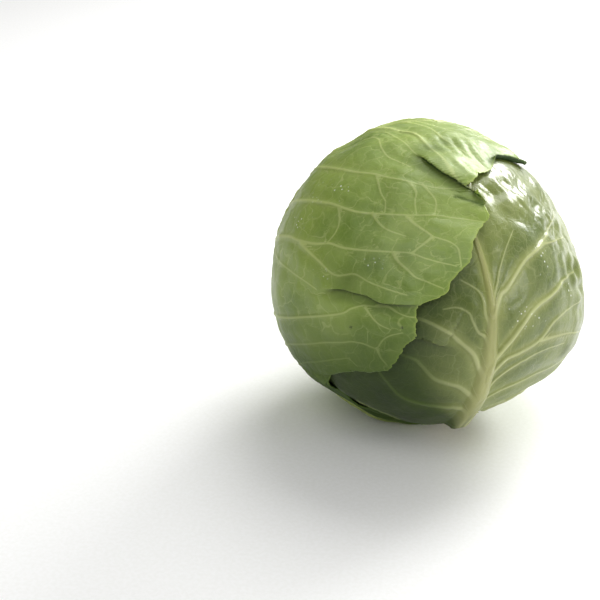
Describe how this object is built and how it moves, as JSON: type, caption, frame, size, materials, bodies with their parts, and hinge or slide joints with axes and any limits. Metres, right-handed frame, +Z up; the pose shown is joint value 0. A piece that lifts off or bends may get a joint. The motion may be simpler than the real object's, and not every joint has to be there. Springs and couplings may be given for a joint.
{
  "type": "round head cabbage",
  "caption": "Whole round green cabbage head with its wrapper leaves and cut stem, leaning back and resting on a small flat spot.",
  "frame": {"origin": "on the surface that the head rests on, below the middle of its bounding box", "axes": "+Z up; -Y towards the front, where the pale leaf's midrib climbs from the stem; +X towards the right of someone who looks at that front"},
  "size_m": [0.1777, 0.1822, 0.1727],
  "materials": {
    "stem": "pale green-white stump, dry olive cut face",
    "heart": "pale yellow-green leaf, satin",
    "inner_leaf": "light green leaf with pale veins, satin",
    "pale_leaf": "pale grey-green leaf with thick white-green veins, waxy gloss",
    "green_leaf": "mid-green leaf with fine pale veins, matte waxy bloom"
  },
  "bodies": {
    "root": {"stem": "stem", "heart": "heart", "leaf_under": "inner_leaf", "leaf_right": "inner_leaf", "leaf_left": "inner_leaf", "leaf_back": "inner_leaf", "leaf_front": "pale_leaf", "leaf_cover": "green_leaf"}
  },
  "joints": []
}
